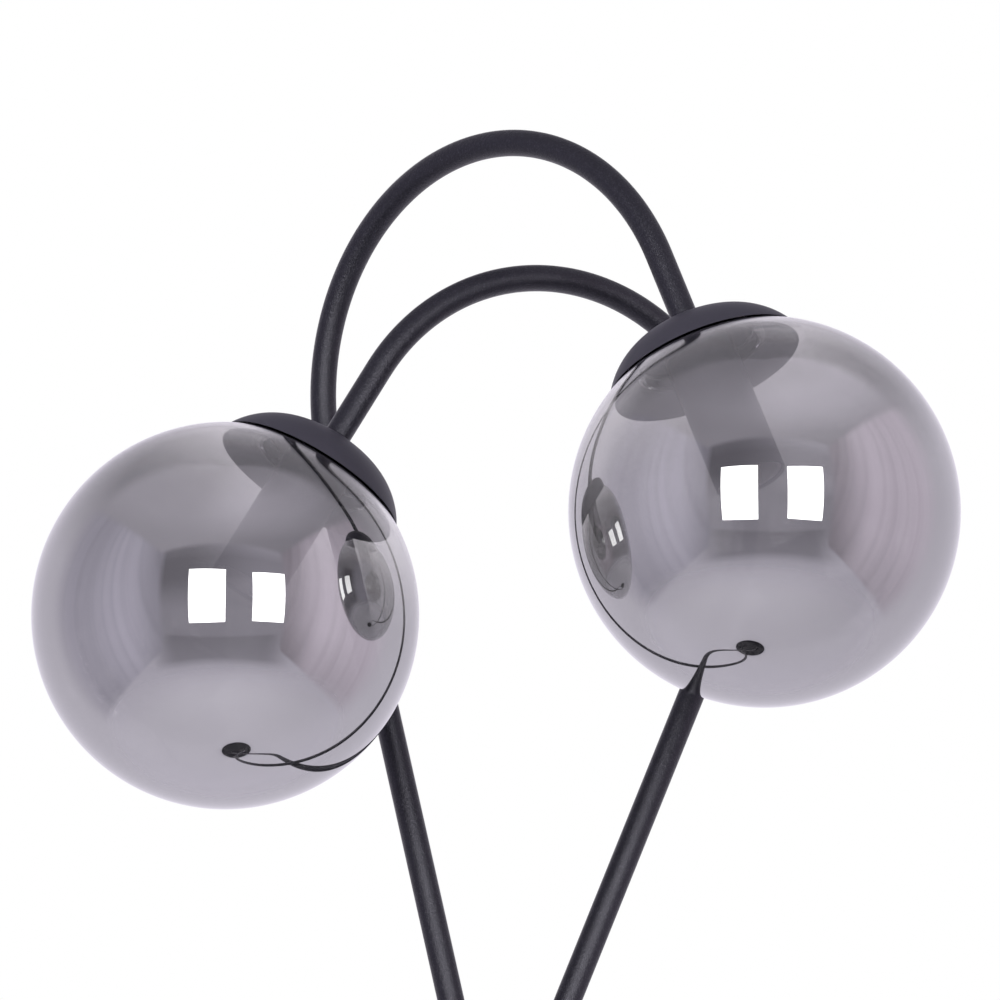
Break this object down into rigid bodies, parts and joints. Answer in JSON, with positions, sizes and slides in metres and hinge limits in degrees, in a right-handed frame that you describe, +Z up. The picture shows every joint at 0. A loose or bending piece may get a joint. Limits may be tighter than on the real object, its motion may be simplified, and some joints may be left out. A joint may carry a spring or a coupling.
{
  "type": "floor lamp",
  "caption": "Floor lamp with two interwoven bent tubes on a round weighted base, arching over to smoked glass globes under domed caps.",
  "frame": {"origin": "middle of the base's underside, on the floor", "axes": "+Z up, +X to the right as seen from the front, +Y to the rear"},
  "size_m": [0.4765, 0.3723, 1.6695],
  "materials": {
    "black_powder_coat": "satin powder coat with a fine grain",
    "matt_black_cap": "smooth matt black lacquer",
    "smoked_glass": "smoked grey glass with a mirror sheen",
    "cast_iron": "raw casting",
    "zinc_steel": "zinc plated",
    "black_rubber": "matt",
    "felt": "pressed felt",
    "white_plastic": "moulded",
    "brass": "stamped",
    "lead_sheath": "extruded sheath"
  },
  "bodies": {
    "stand": {"base_cover": "black_powder_coat", "base_pad": "felt", "base_weight": "cast_iron", "bottom_plate": "zinc_steel", "foot_nuts": "zinc_steel", "foot_washers": "zinc_steel", "inlet_bush": "black_rubber", "low_cap": "matt_black_cap", "low_cap_nut": "zinc_steel", "low_centre_contact": "brass", "low_foot_stud": "black_powder_coat", "low_gallery": "black_powder_coat", "low_gasket": "black_rubber", "low_head_stud": "black_powder_coat", "low_holder_body": "white_plastic", "low_holder_sleeve": "black_powder_coat", "low_holder_top": "white_plastic", "low_lead": "lead_sheath", "low_screw_shell": "brass", "low_sleeve_nut": "zinc_steel", "low_spacer": "zinc_steel", "low_tube": "black_powder_coat", "plate_screws": "zinc_steel", "tall_cap": "matt_black_cap", "tall_cap_nut": "zinc_steel", "tall_centre_contact": "brass", "tall_foot_stud": "black_powder_coat", "tall_gallery": "black_powder_coat", "tall_gasket": "black_rubber", "tall_head_stud": "black_powder_coat", "tall_holder_body": "white_plastic", "tall_holder_sleeve": "black_powder_coat", "tall_holder_top": "white_plastic", "tall_lead": "lead_sheath", "tall_screw_shell": "brass", "tall_sleeve_nut": "zinc_steel", "tall_spacer": "zinc_steel", "tall_tube": "black_powder_coat", "terminal_block": "white_plastic", "terminal_sleeves": "brass"},
    "tall_globe": {"tall_globe": "smoked_glass"},
    "low_globe": {"low_globe": "smoked_glass"}
  },
  "joints": [
    {"name": "tall_globe_twist", "type": "hinge", "parent": "stand", "child": "tall_globe", "pos_m": [0.15683, -0.12069, 1.445], "axis": [0.3374, -0.2136, -0.9168], "range_deg": [0, 60]},
    {"name": "low_globe_twist", "type": "hinge", "parent": "stand", "child": "low_globe", "pos_m": [-0.1197, -0.07871, 1.3979], "axis": [-0.4909, -0.1817, -0.8521], "range_deg": [0, 60]}
  ]
}
